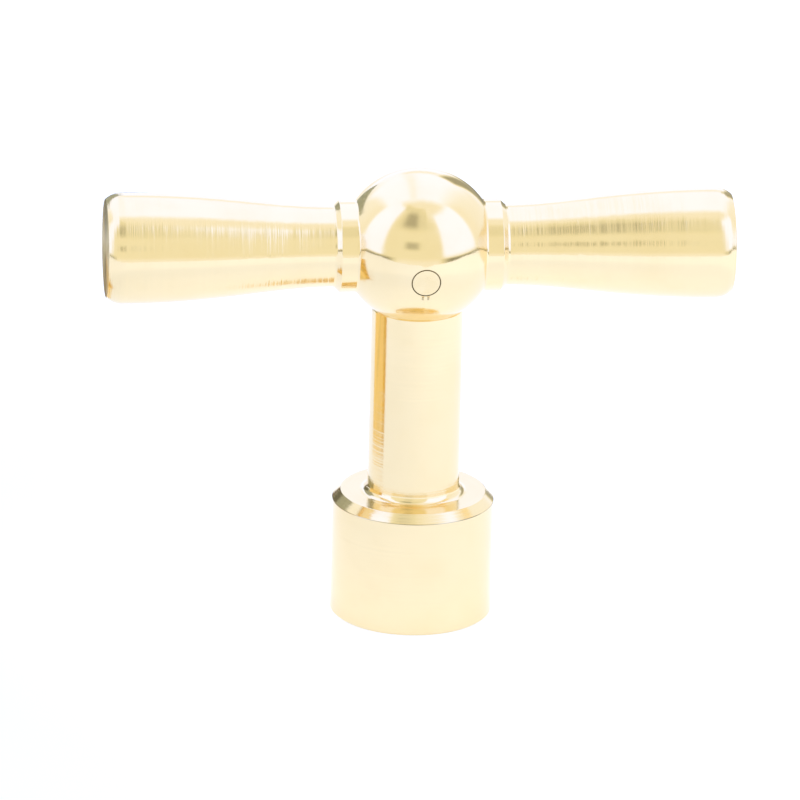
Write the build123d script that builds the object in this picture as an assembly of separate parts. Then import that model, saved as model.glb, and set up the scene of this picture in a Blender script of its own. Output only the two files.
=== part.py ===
from build123d import *
import math
import os

# Radiator bleed key, in millimetres.
# A turned T-handle sits on a stem whose lower end is a square socket, and a cross pin locks the two.
# Frame: origin at the centre of the socket's mouth, +Z up the stem, +X along the handle's arms,
# and the cross pin runs along Y.

# Socket and stem, turned in one piece
SOCKET_DIA = 12.0
SOCKET_HEIGHT = 9.4
SOCKET_TOP_CHAMFER = 0.62
SOCKET_MOUTH_EDGE = 0.2
STEM_DIA = 6.8
STEM_BASE_FILLET = 0.55
STEM_TOP_EDGE = 0.08
TENON_DIA = 4.8
TENON_EDGE = 0.3

# Square hole that grips the bleed valve's 5 mm spindle
SQUARE_FLATS = 5.2
SQUARE_DEPTH = 7.0
SQUARE_CORNER_RADIUS = 0.15
PILOT_DIA = 5.5
COUNTERSINK_DIA = 7.7
DRILL_POINT_ANGLE = 118.0

# Handle, turned in one piece: a ball, a collar on each side of it, and two flared arms
OVERALL_HEIGHT = 34.3
HANDLE_LENGTH = 46.2
BALL_DIA = 11.6
COLLAR_DIA = 6.8
COLLAR_END = 6.3
COLLAR_CHAMFER = 0.35
BALL_FILLET = 0.2
NECK_DIA = 6.0
NECK_START = 6.45
ARM_END_DIA = 8.2
ARM_CROWN_LENGTH = 1.2
ARM_CROWN_DROP = 0.48
FLARE_START = 0.275   # share of the flare's length over which the neck stays slim
FLARE_END = 0.535     # share of the flare's length after which the end stays full
TENON_CLEARANCE = 0.02
BORE_END_GAP = 0.1
TENON_TOP_ABOVE_BALL_CENTRE = 2.0

# Cross pin, dressed flush with the ball
PIN_DIA = 2.0
PIN_BELOW_BALL_CENTRE = 1.0
PIN_GROOVE_WIDTH = 0.07
PIN_GROOVE_DEPTH = 0.15

# Two short staking marks under the front end of the pin
STAKE_OFFSETS = (-0.2, 0.2)
STAKE_DROP = 1.3
STAKE_LENGTH = 0.45
STAKE_WIDTH = 0.2
STAKE_DEPTH = 0.06

# Rounding left on the outer edges by polishing
EDGE_ROUND = 0.07

# Sizes that follow from the driving dimensions
BALL_R = BALL_DIA / 2
STEM_R = STEM_DIA / 2
BALL_Z = OVERALL_HEIGHT - BALL_R
SEAT_Z = BALL_Z - math.sqrt(BALL_R**2 - STEM_R**2)
PIN_Z = BALL_Z - PIN_BELOW_BALL_CENTRE
TENON_TOP_Z = BALL_Z + TENON_TOP_ABOVE_BALL_CENTRE


def drill_point(diameter):
    """Cone left by a drill of this diameter, standing on the XY plane with its tip up."""
    height = diameter / 2 / math.tan(math.radians(DRILL_POINT_ANGLE / 2))
    return Cone(diameter / 2, 0, height, align=(Align.CENTER, Align.CENTER, Align.MIN))


def upright_cylinder(radius, bottom, top):
    """Cylinder about the Z axis between two heights."""
    return Pos(0, 0, bottom) * Cylinder(radius, top - bottom, align=(Align.CENTER, Align.CENTER, Align.MIN))


def cross_cylinder(radius, length):
    """Cylinder along Y, centred on the cross pin's axis."""
    return Pos(0, 0, PIN_Z) * Rot(90, 0, 0) * Cylinder(radius, length)


def ball(radius):
    """Sphere about the centre of the handle's ball."""
    return Pos(0, 0, BALL_Z) * Sphere(radius)


def round_ring(solid, point, radius):
    """Fillet on the circular edge that passes through a point of a turned solid."""
    ring = solid.edges().filter_by(GeomType.CIRCLE).sort_by_distance(point)[0]
    return fillet(ring, radius)


def half_handle():
    """Right half of the turned handle, about the X axis: ball, collar and flared arm."""
    end = HANDLE_LENGTH / 2
    collar_r = COLLAR_DIA / 2
    neck_r = NECK_DIA / 2
    arm_r = ARM_END_DIA / 2
    collar_start = math.sqrt(BALL_R**2 - collar_r**2)
    crown_start = end - ARM_CROWN_LENGTH
    flare = crown_start - NECK_START
    half_ball = math.atan2(collar_r, collar_start) / 2 + math.pi / 4
    mid_arc = (BALL_R * math.cos(half_ball), BALL_R * math.sin(half_ball))
    outline = [
        Line((0, 0), (0, BALL_R)),
        ThreePointArc((0, BALL_R), mid_arc, (collar_start, collar_r)),
        Polyline(
            (collar_start, collar_r),
            (COLLAR_END - COLLAR_CHAMFER, collar_r),
            (COLLAR_END, collar_r - COLLAR_CHAMFER),
            (NECK_START, neck_r),
        ),
        Bezier(
            (NECK_START, neck_r),
            (NECK_START + FLARE_START * flare, neck_r),
            (NECK_START + FLARE_END * flare, arm_r),
            (crown_start, arm_r),
        ),
        TangentArc((crown_start, arm_r), (end, arm_r - ARM_CROWN_DROP), tangent=(1, 0)),
        Polyline((end, arm_r - ARM_CROWN_DROP), (end, 0), (0, 0)),
    ]
    solid = revolve(make_face(outline), Axis.X)
    solid = round_ring(solid, (collar_start, collar_r, 0), BALL_FILLET)
    solid = round_ring(solid, (COLLAR_END - COLLAR_CHAMFER, collar_r, 0), EDGE_ROUND)
    solid = round_ring(solid, (COLLAR_END, collar_r - COLLAR_CHAMFER, 0), EDGE_ROUND)
    return round_ring(solid, (end, arm_r - ARM_CROWN_DROP, 0), EDGE_ROUND)


def make_handle():
    half = half_handle()
    blank = Pos(0, 0, BALL_Z) * (half + mirror(half, Plane.YZ))
    bore_r = TENON_DIA / 2 + TENON_CLEARANCE
    bore_top = TENON_TOP_Z + BORE_END_GAP
    below_ball = BALL_Z - BALL_DIA
    seat_cut = upright_cylinder(BALL_R, below_ball, SEAT_Z)
    bore = upright_cylinder(bore_r, below_ball, bore_top) + Pos(0, 0, bore_top) * drill_point(2 * bore_r)
    pin_hole = cross_cylinder(PIN_DIA / 2, 2 * BALL_DIA)
    pin_groove = cross_cylinder(PIN_DIA / 2 + PIN_GROOVE_WIDTH, 2 * BALL_DIA) - ball(BALL_R - PIN_GROOVE_DEPTH)
    handle = blank - seat_cut - bore - pin_hole - pin_groove
    for offset in STAKE_OFFSETS:
        handle -= staking_mark(offset)
    return handle


def staking_mark(offset):
    """Upright stroke of a narrow punch on the front of the ball, just under the pin."""
    drop = PIN_BELOW_BALL_CENTRE + STAKE_DROP
    direction = Vector(offset, -math.sqrt(BALL_R**2 - offset**2 - drop**2), -drop).normalized()
    punch_r = (STAKE_LENGTH**2 / 4 + STAKE_DEPTH**2) / (2 * STAKE_DEPTH)
    centre = Vector(0, 0, BALL_Z) + direction * (BALL_R + punch_r - STAKE_DEPTH)
    return Pos(centre) * Rot(0, 90, 0) * Cylinder(punch_r, STAKE_WIDTH)


def make_stem_socket():
    socket_r = SOCKET_DIA / 2
    tenon_r = TENON_DIA / 2
    fillet_top = SOCKET_HEIGHT + STEM_BASE_FILLET
    fillet_foot = STEM_R + STEM_BASE_FILLET
    outline = [
        Polyline(
            (fillet_foot, SOCKET_HEIGHT),
            (socket_r - SOCKET_TOP_CHAMFER, SOCKET_HEIGHT),
            (socket_r, SOCKET_HEIGHT - SOCKET_TOP_CHAMFER),
            (socket_r, SOCKET_MOUTH_EDGE),
            (socket_r - SOCKET_MOUTH_EDGE, 0),
            (0, 0),
            (0, TENON_TOP_Z),
            (tenon_r - TENON_EDGE, TENON_TOP_Z),
            (tenon_r, TENON_TOP_Z - TENON_EDGE),
            (tenon_r, SEAT_Z),
            (STEM_R - STEM_TOP_EDGE, SEAT_Z),
            (STEM_R, SEAT_Z - STEM_TOP_EDGE),
            (STEM_R, fillet_top),
        ),
        TangentArc((STEM_R, fillet_top), (fillet_foot, SOCKET_HEIGHT), tangent=(0, -1)),
    ]
    blank = revolve(Plane.XZ * make_face(outline), Axis.Z)
    blank = round_ring(blank, (socket_r - SOCKET_TOP_CHAMFER, 0, SOCKET_HEIGHT), EDGE_ROUND)
    blank = round_ring(blank, (socket_r, 0, SOCKET_HEIGHT - SOCKET_TOP_CHAMFER), EDGE_ROUND)
    pin_hole = cross_cylinder(PIN_DIA / 2, SOCKET_DIA)
    return blank - square_hole() - pin_hole


def square_hole():
    """Broached square, the round pilot hole it was cut from, and the countersunk mouth."""
    square = extrude(RectangleRounded(SQUARE_FLATS, SQUARE_FLATS, SQUARE_CORNER_RADIUS), SQUARE_DEPTH)
    pilot = upright_cylinder(PILOT_DIA / 2, 0, SQUARE_DEPTH) + Pos(0, 0, SQUARE_DEPTH) * drill_point(PILOT_DIA)
    mouth_r = COUNTERSINK_DIA / 2
    countersink = Cone(mouth_r, 0, mouth_r, align=(Align.CENTER, Align.CENTER, Align.MIN))
    return square + pilot + countersink


def make_cross_pin():
    return cross_cylinder(PIN_DIA / 2, 2 * BALL_DIA) & ball(BALL_R)


PARTS = {
    "handle": make_handle,
    "stem_socket": make_stem_socket,
    "cross_pin": make_cross_pin,
}

os.makedirs("parts", exist_ok=True)
for name, make in PARTS.items():
    export_step(make(), f"parts/{name}.step")
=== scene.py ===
import math

import bpy
from mathutils import Matrix, Vector


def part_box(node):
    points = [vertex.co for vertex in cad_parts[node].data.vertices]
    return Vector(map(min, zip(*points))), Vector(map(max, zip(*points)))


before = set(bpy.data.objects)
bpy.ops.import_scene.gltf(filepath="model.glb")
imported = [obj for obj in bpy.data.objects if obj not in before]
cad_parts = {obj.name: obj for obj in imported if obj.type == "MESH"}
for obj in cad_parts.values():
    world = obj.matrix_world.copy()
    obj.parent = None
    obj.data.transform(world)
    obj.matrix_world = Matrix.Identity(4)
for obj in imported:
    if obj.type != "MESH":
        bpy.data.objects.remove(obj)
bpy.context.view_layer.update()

MM = 0.001

# The frame's own measures: the ball, the pin and the socket are found from the boxes of their nodes
HANDLE_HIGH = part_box("handle")[1]
PIN_LOW, PIN_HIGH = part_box("cross_pin")
BALL_CENTRE = Vector((0, 0, HANDLE_HIGH.z - PIN_HIGH.y))
ARM_TIP = HANDLE_HIGH.x
PIN_RADIUS = PIN_HIGH.x
PIN_Z = (PIN_LOW.z + PIN_HIGH.z) / 2
SOCKET_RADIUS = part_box("stem_socket")[1].x

# Places on the key that only the materials need
COLLAR_END = 6.3 * MM
HOLE_RADIUS = 3.85 * MM
HOLE_TOP = 9.05 * MM
STAKE_OFFSET = 0.20 * MM
STAKE_DROP = 1.30 * MM

# Camera: a long lens, a little to the left of the key and above it
CAMERA_AZIMUTH = -6.2
CAMERA_ELEVATION = 18.9
CAMERA_ROLL = 1.42
CAMERA_DISTANCE = 0.75
LENS = 459.0
SENSOR = 36.0
BALL_RIGHT_OF_CENTRE = 1.40 * MM
BALL_ABOVE_CENTRE = 11.38 * MM


class Graph:
    """A node tree with short ways to add nodes, whose inputs may be numbers or other nodes' outputs."""

    def __init__(self, tree):
        self.tree = tree
        tree.nodes.clear()

    def put(self, socket, value):
        if isinstance(value, bpy.types.NodeSocket):
            self.tree.links.new(value, socket)
        else:
            socket.default_value = value

    def add(self, kind, inputs=None, **settings):
        node = self.tree.nodes.new(kind)
        for name, value in settings.items():
            setattr(node, name, value)
        for name, value in (inputs or {}).items():
            self.put(node.inputs[name], value)
        return node

    def math(self, operation, *values):
        node = self.add("ShaderNodeMath", operation=operation)
        for socket, value in zip(node.inputs, values):
            self.put(socket, value)
        return node.outputs[0]

    def vector(self, operation, *values):
        node = self.add("ShaderNodeVectorMath", operation=operation)
        for socket, value in zip(node.inputs, values):
            self.put(socket, value)
        return node.outputs["Value"] if operation in ("LENGTH", "DOT_PRODUCT") else node.outputs[0]

    def split(self, vector):
        return self.add("ShaderNodeSeparateXYZ", {"Vector": vector}).outputs

    def join(self, x, y, z):
        return self.add("ShaderNodeCombineXYZ", {"X": x, "Y": y, "Z": z}).outputs[0]

    def ramp(self, value, low, high, out_low=0.0, out_high=1.0):
        """Smooth step: out_low below low, out_high above high."""
        return self.add(
            "ShaderNodeMapRange",
            {"Value": value, "From Min": low, "From Max": high, "To Min": out_low, "To Max": out_high},
            interpolation_type="SMOOTHSTEP",
        ).outputs["Result"]

    def band(self, value, low, high, soft, peak=1.0):
        """peak between low and high, falling smoothly to 0 over soft on each side."""
        rise = self.ramp(value, low - soft, low + soft)
        fall = self.ramp(value, high - soft, high + soft, peak, 0.0)
        return self.math("MULTIPLY", rise, fall)

    def lerp(self, low, high, factor):
        return self.add(
            "ShaderNodeMix", {"Factor": factor, "A": low, "B": high}, data_type="FLOAT"
        ).outputs["Result"]

    def blend(self, under, over, factor):
        """Colour mix; under and over are RGB triples or colour outputs."""
        # A Mix node has its colour inputs at 6 and 7 and its colour output at 2
        node = self.add("ShaderNodeMix", data_type="RGBA")
        self.put(node.inputs["Factor"], factor)
        for socket, value in ((node.inputs[6], under), (node.inputs[7], over)):
            self.put(socket, value if isinstance(value, bpy.types.NodeSocket) else (*value, 1.0))
        return node.outputs[2]

    def noise(self, vector, scale, detail=2.0, roughness=0.5):
        return self.add(
            "ShaderNodeTexNoise",
            {"Vector": vector, "Scale": scale, "Detail": detail, "Roughness": roughness},
        ).outputs["Fac"]


def new_material(name):
    material = bpy.data.materials.new(name)
    material.use_nodes = True
    return material, Graph(material.node_tree)


# ---------------------------------------------------------------- brass

BRASS = (0.95, 0.775, 0.45)
BRASS_DEEP = (0.88, 0.68, 0.34)
BRASS_DULL = (0.62, 0.46, 0.22)
# The darkest colour: grime with painted shade at the pin's joint, the stake marks, and a painted dark
# reflection on the socket's edge
GRIME_SHADE_AND_REFLECTION = (0.20, 0.15, 0.07)

# Heights of the marks left in the brass, in millimetres
ARM_GROOVES = 0.040
ARM_CHATTER = 0.012
STEM_GROOVES = 0.010
STEM_CHATTER = 0.006
BROACH_MARKS = 0.016
POLISH = 0.0008
PIN_SCRATCHES = 0.003
BALL_SHARE = 0.03       # how much of the arms' marks is left on the polished ball
LEFT_ARM_SHARE = 0.85   # the left arm was turned a little finer than the right

# Gloss
BALL_ROUGHNESS = 0.10
ARM_ROUGHNESS = 0.14
END_FACE_ROUGHNESS = 0.28
STEM_ROUGHNESS = 0.14
HOLE_ROUGHNESS = 0.34
HANDLE_ANISOTROPY = 0.75
STEM_ANISOTROPY = 0.6


def lathe_coordinates(g, axis, centre):
    """Place along the axis, radius, and the tangent that runs across the turning marks."""
    point = g.add("ShaderNodeTexCoord").outputs["Object"]
    offset = g.vector("SUBTRACT", point, tuple(centre))
    axial = g.vector("DOT_PRODUCT", offset, tuple(axis))
    along = g.vector("MULTIPLY", tuple(axis), g.join(axial, axial, axial))
    outward = g.vector("SUBTRACT", offset, along)
    radius = g.vector("LENGTH", outward)
    around = g.vector("CROSS_PRODUCT", tuple(axis), outward)
    normal = g.add("ShaderNodeNewGeometry").outputs["True Normal"]
    across = g.vector("NORMALIZE", g.vector("CROSS_PRODUCT", normal, around))
    return point, axial, radius, across


def brass_shader(g, colour, roughness, height, tangent, anisotropy):
    """Polished brass; height is in millimetres."""
    bump = g.add("ShaderNodeBump", {"Height": height, "Strength": 1.0, "Distance": MM})
    shader = g.add("ShaderNodeBsdfPrincipled")
    g.put(shader.inputs["Base Color"], colour)
    g.put(shader.inputs["Metallic"], 1.0)
    g.put(shader.inputs["Roughness"], roughness)
    g.put(shader.inputs["Anisotropic"], anisotropy)
    g.put(shader.inputs["Tangent"], tangent)
    g.put(shader.inputs["Normal"], bump.outputs[0])
    output = g.add("ShaderNodeOutputMaterial")
    g.put(output.inputs["Surface"], shader.outputs[0])


def handle_material():
    material, g = new_material("brass_handle")
    point, axial, radius, across = lathe_coordinates(g, (1, 0, 0), BALL_CENTRE)
    x, y, z = g.split(point)
    span = g.math("ABSOLUTE", axial)
    on_arm = g.ramp(span, COLLAR_END - 0.2 * MM, COLLAR_END + 0.2 * MM)
    on_face = g.ramp(span, ARM_TIP - 0.05 * MM, ARM_TIP - 0.01 * MM)

    drift = g.math("MULTIPLY", g.math("ADD", y, z), 0.02)
    turned = g.join(axial, radius, drift)
    grooves = g.noise(turned, 3600.0, 3.0, 0.7)
    strength = g.ramp(g.noise(g.join(axial, drift, 0.0), 700.0, 2.0, 0.6), 0.38, 0.62, 0.35, 1.0)
    strength = g.math("MULTIPLY", strength, g.ramp(axial, -2.0 * MM, 2.0 * MM, LEFT_ARM_SHARE, 1.0))
    chatter = g.noise(turned, 900.0, 1.0, 0.5)
    polish = g.noise(point, 2600.0, 3.0, 0.6)
    arm_height = g.math("MULTIPLY", g.math("MULTIPLY", grooves, strength), ARM_GROOVES)
    arm_height = g.math("ADD", arm_height, g.math("MULTIPLY", chatter, ARM_CHATTER))
    height = g.math("MULTIPLY", arm_height, g.lerp(BALL_SHARE, 1.0, on_arm))
    height = g.math("ADD", height, g.math("MULTIPLY", polish, POLISH))

    cloud = g.noise(point, 320.0, 3.0, 0.55)
    colour = g.blend(BRASS, BRASS_DEEP, g.ramp(cloud, 0.40, 0.80, 0.0, 0.25))
    # A dark ring at the pin's joint: grime in the joint with painted shade of its groove
    from_pin = g.vector("LENGTH", g.join(x, g.math("SUBTRACT", z, PIN_Z), 0.0))
    ring = g.band(from_pin, PIN_RADIUS - 0.04 * MM, PIN_RADIUS + 0.09 * MM, 0.03 * MM)
    aside = g.math("ABSOLUTE", x)
    stroke = g.band(aside, STAKE_OFFSET - 0.07 * MM, STAKE_OFFSET + 0.07 * MM, 0.03 * MM)
    drop = g.math("SUBTRACT", PIN_Z, z)
    length = g.band(drop, STAKE_DROP - 0.16 * MM, STAKE_DROP + 0.16 * MM, 0.04 * MM)
    in_front = g.ramp(y, -2.0 * MM, -3.0 * MM, 0.0, 0.6)
    stakes = g.math("MULTIPLY", g.math("MULTIPLY", stroke, length), in_front)
    marks = g.math("MAXIMUM", ring, stakes)
    colour = g.blend(colour, GRIME_SHADE_AND_REFLECTION, g.math("MULTIPLY", marks, 0.85))
    wear = g.ramp(g.noise(point, 900.0, 4.0, 0.6), 0.45, 0.8, 0.0, 0.08)
    roughness = g.lerp(g.lerp(BALL_ROUGHNESS, ARM_ROUGHNESS, on_arm), END_FACE_ROUGHNESS, on_face)
    roughness = g.math("ADD", g.math("ADD", roughness, wear), g.math("MULTIPLY", marks, 0.35))
    brass_shader(g, colour, roughness, height, across, HANDLE_ANISOTROPY)
    return material


def stem_material():
    material, g = new_material("brass_stem")
    point, axial, radius, across = lathe_coordinates(g, (0, 0, 1), (0, 0, 0))
    x, y, z = g.split(point)
    drift = g.math("MULTIPLY", g.math("ADD", x, y), 0.02)
    turned = g.join(axial, radius, drift)
    grooves = g.noise(turned, 4200.0, 2.0, 0.6)
    chatter = g.noise(turned, 900.0, 1.0, 0.5)
    polish = g.noise(point, 2600.0, 3.0, 0.6)
    inside = g.ramp(radius, HOLE_RADIUS + 0.02 * MM, HOLE_RADIUS - 0.02 * MM)
    in_hole = g.math("MULTIPLY", inside, g.ramp(z, HOLE_TOP + 0.15 * MM, HOLE_TOP - 0.15 * MM))
    broached = g.noise(g.join(x, y, g.math("MULTIPLY", z, 0.04)), 5200.0, 3.0, 0.6)
    grooves = g.lerp(grooves, broached, in_hole)
    height = g.math("MULTIPLY", grooves, g.lerp(STEM_GROOVES, BROACH_MARKS, in_hole))
    height = g.math("ADD", height, g.math("MULTIPLY", chatter, STEM_CHATTER))
    height = g.math("ADD", height, g.math("MULTIPLY", polish, POLISH))
    cloud = g.noise(point, 300.0, 3.0, 0.55)
    colour = g.blend(BRASS, BRASS_DEEP, g.ramp(cloud, 0.40, 0.80, 0.0, 0.22))
    wear = g.ramp(g.noise(point, 800.0, 4.0, 0.6), 0.45, 0.8, 0.0, 0.08)
    # Painted reflection: dark patches on the socket's sloping outer edge stand in for a dark reflection there
    facing = g.split(g.add("ShaderNodeNewGeometry").outputs["Normal"])[2]
    at_edge = g.ramp(radius, SOCKET_RADIUS - 0.2 * MM, SOCKET_RADIUS - 0.1 * MM)
    shoulder = g.math("MULTIPLY", g.band(facing, 0.15, 0.55, 0.12), at_edge)
    patchy = g.ramp(g.noise(point, 260.0, 2.0, 0.5), 0.35, 0.6, 0.25, 0.9)
    painted_edge_reflection = g.math("MULTIPLY", shoulder, patchy)
    colour = g.blend(colour, BRASS_DULL, g.math("MULTIPLY", in_hole, 0.8))
    colour = g.blend(colour, GRIME_SHADE_AND_REFLECTION, painted_edge_reflection)
    base = g.lerp(STEM_ROUGHNESS, HOLE_ROUGHNESS, in_hole)
    roughness = g.math("ADD", g.math("ADD", base, wear), g.math("MULTIPLY", painted_edge_reflection, 0.3))
    brass_shader(g, colour, roughness, height, across, STEM_ANISOTROPY)
    return material


def pin_material():
    material, g = new_material("brass_pin")
    point, axial, radius, across = lathe_coordinates(g, (0, 1, 0), (0, 0, PIN_Z))
    x, y, z = g.split(point)
    scratches = g.noise(g.join(g.math("MULTIPLY", x, 0.08), z, y), 9000.0, 3.0, 0.6)
    cloud = g.noise(point, 700.0, 3.0, 0.55)
    colour = g.blend(BRASS, BRASS_DEEP, g.ramp(cloud, 0.3, 0.7, 0.0, 0.35))
    roughness = g.ramp(cloud, 0.3, 0.7, 0.15, 0.28)
    brass_shader(g, colour, roughness, g.math("MULTIPLY", scratches, PIN_SCRATCHES), across, 0.0)
    return material


# ---------------------------------------------------------------- studio

FLOOR_REACH = 0.16
FLOOR_SIDE = 0.30
FLOOR_Z = -0.03 * MM
FLOOR_GREY = (0.52, 0.52, 0.52)
FLOOR_GLOW = (0.93, 1.0, 1.15)
SOFT_BOX = 1.28
BACKGROUND_WHITE = (1.1, 1.1, 1.1)

FOOT = Vector((0, 0, 0))
LEFT_TIP = Vector((-ARM_TIP, 0, 0))
SOCKET_LEFT = Vector((-SOCKET_RADIUS, 0, 0))

# Glowing cards that paint dark and warm reflections in the polished brass: name, lowest and highest azimuth in
# degrees, distance and the place it is measured from, bottom, top and colour
REFLECTION_CARDS = (
    ("reflection_card_left", -124, -87, 0.040, FOOT, 0.0, 0.019, (1.03, 0.80, 0.38)),
    ("reflection_card_left_edge", -87, -79, 0.040, FOOT, 0.0, 0.019, (0.86, 0.55, 0.13)),
    ("reflection_card_behind_low", -182, -150, 0.050, LEFT_TIP, 0.0068, 0.0124, (0.16, 0.11, 0.05)),
    ("reflection_card_behind_high", -182, -150, 0.050, LEFT_TIP, 0.0137, 0.025, (0.17, 0.17, 0.14)),
    ("reflection_card_far_left", -158, -119, 0.060, SOCKET_LEFT, 0.011, 0.052, (0.44, 0.48, 0.44)),
)

LAMP_PLACE = (0.15, 0.10, 0.5)
LAMP_SIZE = 0.5
LAMP_POWER = 0.35


def link(thing):
    bpy.context.scene.collection.objects.link(thing)


def make_sheet(name, corners, material):
    """Flat four-cornered sheet of the set."""
    mesh = bpy.data.meshes.new(name)
    mesh.from_pydata(corners, [], [(0, 1, 2, 3)])
    mesh.materials.append(material)
    sheet = bpy.data.objects.new(name, mesh)
    link(sheet)
    return sheet


def make_floor():
    """White acrylic, partly lit from within to keep the key's shadow faint, and clear when seen from below."""
    corners = [
        (-FLOOR_SIDE, -FLOOR_REACH, FLOOR_Z),
        (FLOOR_SIDE, -FLOOR_REACH, FLOOR_Z),
        (FLOOR_SIDE, FLOOR_REACH, FLOOR_Z),
        (-FLOOR_SIDE, FLOOR_REACH, FLOOR_Z),
    ]
    material, g = new_material("white_floor")
    x, y, z = g.split(g.add("ShaderNodeTexCoord").outputs["Object"])
    shader = g.add("ShaderNodeBsdfPrincipled")
    g.put(shader.inputs["Base Color"], (*FLOOR_GREY, 1.0))
    g.put(shader.inputs["Roughness"], 0.9)
    g.put(shader.inputs["Specular IOR Level"], 0.0)
    g.put(shader.inputs["Emission Color"], (*FLOOR_GLOW, 1.0))
    # Painted light and shade in the glow: dimmer at the left, a dimmer ring 28 to 62 mm from the foot, and
    # brighter close to the foot, where it lifts the key's shadow
    reach = g.vector("LENGTH", g.join(x, y, 0.0))
    glow = g.math("SUBTRACT", g.ramp(x, -0.06, 0.06, 0.51, 0.63), g.band(reach, 0.028, 0.062, 0.012, 0.075))
    glow = g.math("ADD", glow, g.ramp(reach, 0.008, 0.020, 0.08, 0.0))
    g.put(shader.inputs["Emission Strength"], glow)
    clear = g.add("ShaderNodeBsdfTransparent")
    sides = g.add("ShaderNodeMixShader")
    g.put(sides.inputs[0], g.add("ShaderNodeNewGeometry").outputs["Backfacing"])
    g.put(sides.inputs[1], shader.outputs[0])
    g.put(sides.inputs[2], clear.outputs[0])
    output = g.add("ShaderNodeOutputMaterial")
    g.put(output.inputs["Surface"], sides.outputs[0])
    make_sheet("floor", corners, material)


def make_reflection_card(name, azimuth_low, azimuth_high, distance, origin, bottom, top, colour):
    """A glowing card, hidden from the camera, diffuse light and shadows, that paints a reflection in the
    polished brass; azimuths start from the camera's side.
    """
    corners = []
    for angle, ends in ((azimuth_low, (bottom, top)), (azimuth_high, (top, bottom))):
        turn = math.radians(angle + CAMERA_AZIMUTH)
        x = origin.x + distance * math.sin(turn)
        y = origin.y - distance * math.cos(turn)
        corners += [(x, y, z) for z in ends]
    material, g = new_material(name)
    point = g.add("ShaderNodeTexCoord").outputs["Object"]
    uneven = g.ramp(g.noise(point, 420.0, 3.0, 0.6), 0.35, 0.65, 0.72, 1.08)
    shader = g.add("ShaderNodeEmission", {"Color": (*colour, 1.0), "Strength": uneven})
    output = g.add("ShaderNodeOutputMaterial")
    g.put(output.inputs["Surface"], shader.outputs[0])
    reflection_card = make_sheet(name, corners, material)
    reflection_card.visible_camera = False
    reflection_card.visible_diffuse = False
    reflection_card.visible_shadow = False


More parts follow.
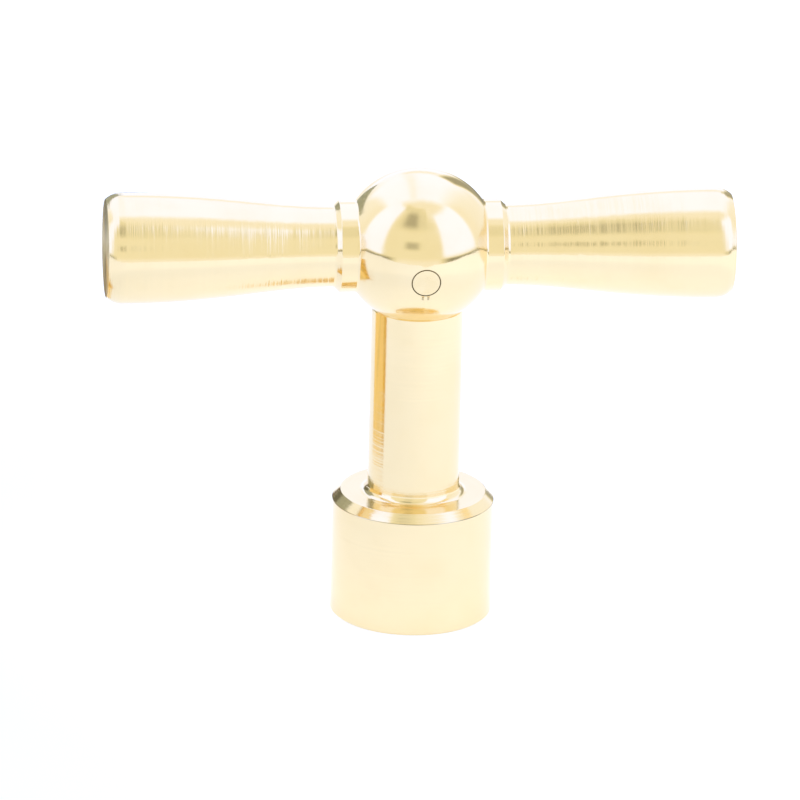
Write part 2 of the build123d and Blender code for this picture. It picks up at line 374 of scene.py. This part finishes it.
def make_world():
    """A light tent: tall soft boxes at both sides, a split one overhead and the warmer room between.

    Angles are in degrees and azimuths start from the camera's side; level 1 is the white of the tent.
    Later layers cover earlier ones.
    """
    world = bpy.data.worlds.new("studio")
    bpy.context.scene.world = world
    world.use_nodes = True
    g = Graph(world.node_tree)
    direction = g.add("ShaderNodeTexCoord").outputs["Generated"]
    turned = g.add(
        "ShaderNodeVectorRotate",
        {"Vector": direction, "Angle": math.radians(-CAMERA_AZIMUTH)},
        rotation_type="Z_AXIS",
    ).outputs[0]
    x, y, z = g.split(turned)
    front = g.math("MULTIPLY", y, -1.0)
    degrees = 180 / math.pi
    azimuth = g.math("MULTIPLY", g.math("ARCTAN2", x, front), degrees)
    side = g.math("ABSOLUTE", azimuth)
    elevation = g.math("MULTIPLY", g.math("ARCSINE", z), degrees)
    arch = g.math("MULTIPLY", g.math("ARCTAN2", z, front), degrees)

    level = 1.04

    def layer(mask, value):
        nonlocal level
        level = g.lerp(level, value, mask)

    def patch(az_low, az_high, az_soft, el_low, el_high, el_soft):
        across = g.band(azimuth, az_low, az_high, az_soft)
        up = g.band(elevation, el_low, el_high, el_soft)
        return g.math("MULTIPLY", across, up)

    # The room in front, with a dimmer patch of ceiling
    room = g.math("MULTIPLY", g.ramp(elevation, -8.0, 0.0), g.ramp(elevation, 60.0, 38.0))
    layer(g.math("MULTIPLY", g.band(azimuth, -60, 40, 6.0), room), 0.955)
    layer(patch(-58, 10, 6.0, 65, 74, 3.0), 0.87)
    # The back of the tent, brighter towards its middle, with a faint seam across it
    behind = g.ramp(side, 95.0, 120.0)
    layer(g.math("MULTIPLY", behind, g.band(elevation, 0.0, 60.0, 3.0)), 1.09)
    layer(g.math("MULTIPLY", g.ramp(side, 138.0, 160.0), g.band(elevation, 6.0, 48.0, 3.0)), 1.24)
    layer(g.math("MULTIPLY", g.ramp(side, 166.0, 174.0), g.band(elevation, -12.0, 9.0, 2.0)), 1.16)
    layer(g.math("MULTIPLY", g.ramp(side, 167.0, 172.0), g.band(elevation, 21.0, 30.0, 4.0)), 1.08)
    # Soft boxes at the left, at the right and overhead, the last with a gap
    layer(patch(-93, -54, 3.0, -3, 68, 3.0), SOFT_BOX)
    layer(patch(36, 91, 3.0, -1, 60, 5.0), SOFT_BOX)
    across_top = g.band(arch, 87.0, 150.0, 7.0)
    width = g.math("MULTIPLY", g.ramp(x, -0.73, -0.59), g.ramp(x, 0.75, 0.30))
    layer(g.math("MULTIPLY", width, across_top), 1.27)
    layer(g.math("MULTIPLY", g.band(x, -0.20, -0.07, 0.05), across_top), 1.19)
    # Camera stand and its head
    layer(patch(-45, 26, 9.0, 40, 67, 6.0), 0.87)
    layer(patch(-32, -3, 8.0, 43, 65, 6.0), 0.50)
    layer(patch(-20, 0, 5.0, 12, 22, 3.5), 0.55)
    # Dark edges of the table at both sides, dark posts at the right of the back, and the bright ground
    sides = g.math("MULTIPLY", g.ramp(side, 28.0, 50.0), g.ramp(side, 125.0, 110.0))
    layer(g.math("MULTIPLY", sides, g.band(elevation, -10.5, -3.0, 1.5)), 0.30)
    layer(patch(150, 172, 3.0, -10.5, 1, 1.5), 0.30)
    layer(patch(153, 167, 3.0, 0, 29, 4.0), 0.42)
    layer(g.ramp(elevation, -10.0, -11.5), 1.12)

    # The brighter a part is, the cooler its light; the camera itself sees plain white
    red = g.math("MINIMUM", level, g.math("MULTIPLY_ADD", level, 0.36, 0.64))
    above = g.math("MAXIMUM", g.math("SUBTRACT", level, 0.93), 0.0)
    rise = g.math("MULTIPLY", above, g.math("MULTIPLY_ADD", above, 4.0, 1.4))
    blue = g.math("MULTIPLY_ADD", level, 0.86, rise)
    rays = g.add("ShaderNodeLightPath").outputs["Is Camera Ray"]
    colour = g.blend(g.join(red, level, blue), BACKGROUND_WHITE, rays)
    shader = g.add("ShaderNodeBackground", {"Color": colour, "Strength": 1.0})
    output = g.add("ShaderNodeOutputWorld")
    g.put(output.inputs["Surface"], shader.outputs[0])


def make_light():
    """One large soft lamp overhead, for a gentle shadow at the foot of the key."""
    data = bpy.data.lights.new("soft_lamp", "AREA")
    data.shape = "DISK"
    data.size = LAMP_SIZE
    data.energy = LAMP_POWER
    lamp = bpy.data.objects.new("soft_lamp", data)
    lamp.location = LAMP_PLACE
    lamp.rotation_mode = "QUATERNION"
    lamp.rotation_quaternion = lamp.location.to_track_quat("Z", "Y")
    lamp.visible_glossy = False
    link(lamp)


def make_camera():
    azimuth = math.radians(CAMERA_AZIMUTH)
    elevation = math.radians(CAMERA_ELEVATION)
    back = Vector(
        (
            math.sin(azimuth) * math.cos(elevation),
            -math.cos(azimuth) * math.cos(elevation),
            math.sin(elevation),
        )
    )
    place = BALL_CENTRE + back * CAMERA_DISTANCE
    level_right = Vector((math.cos(azimuth), math.sin(azimuth), 0))
    rolled = Matrix.Rotation(math.radians(CAMERA_ROLL), 3, back)
    right = rolled @ level_right
    up = back.cross(right)
    aim = BALL_CENTRE - right * BALL_RIGHT_OF_CENTRE - up * BALL_ABOVE_CENTRE
    back = (place - aim).normalized()
    right = (right - back * right.dot(back)).normalized()
    up = back.cross(right)
    data = bpy.data.cameras.new("camera")
    data.lens = LENS
    data.sensor_width = SENSOR
    data.clip_start = 0.01
    data.clip_end = 10.0
    camera = bpy.data.objects.new("camera", data)
    camera.rotation_mode = "QUATERNION"
    camera.rotation_quaternion = Matrix((right, up, back)).transposed().to_quaternion()
    camera.location = place
    link(camera)
    bpy.context.scene.camera = camera


def set_colour_management():
    view = bpy.context.scene.view_settings
    view.view_transform = "Standard"
    view.look = "None"
    view.exposure = 0.0
    view.gamma = 1.0


def dress(node, material):
    """Gives a CAD node its finished material."""
    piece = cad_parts[node]
    piece.data.materials.clear()
    piece.data.materials.append(material)


dress("handle", handle_material())
dress("stem_socket", stem_material())
dress("cross_pin", pin_material())
make_floor()
for reflection_card_terms in REFLECTION_CARDS:
    make_reflection_card(*reflection_card_terms)
make_world()
make_light()
make_camera()
set_colour_management()
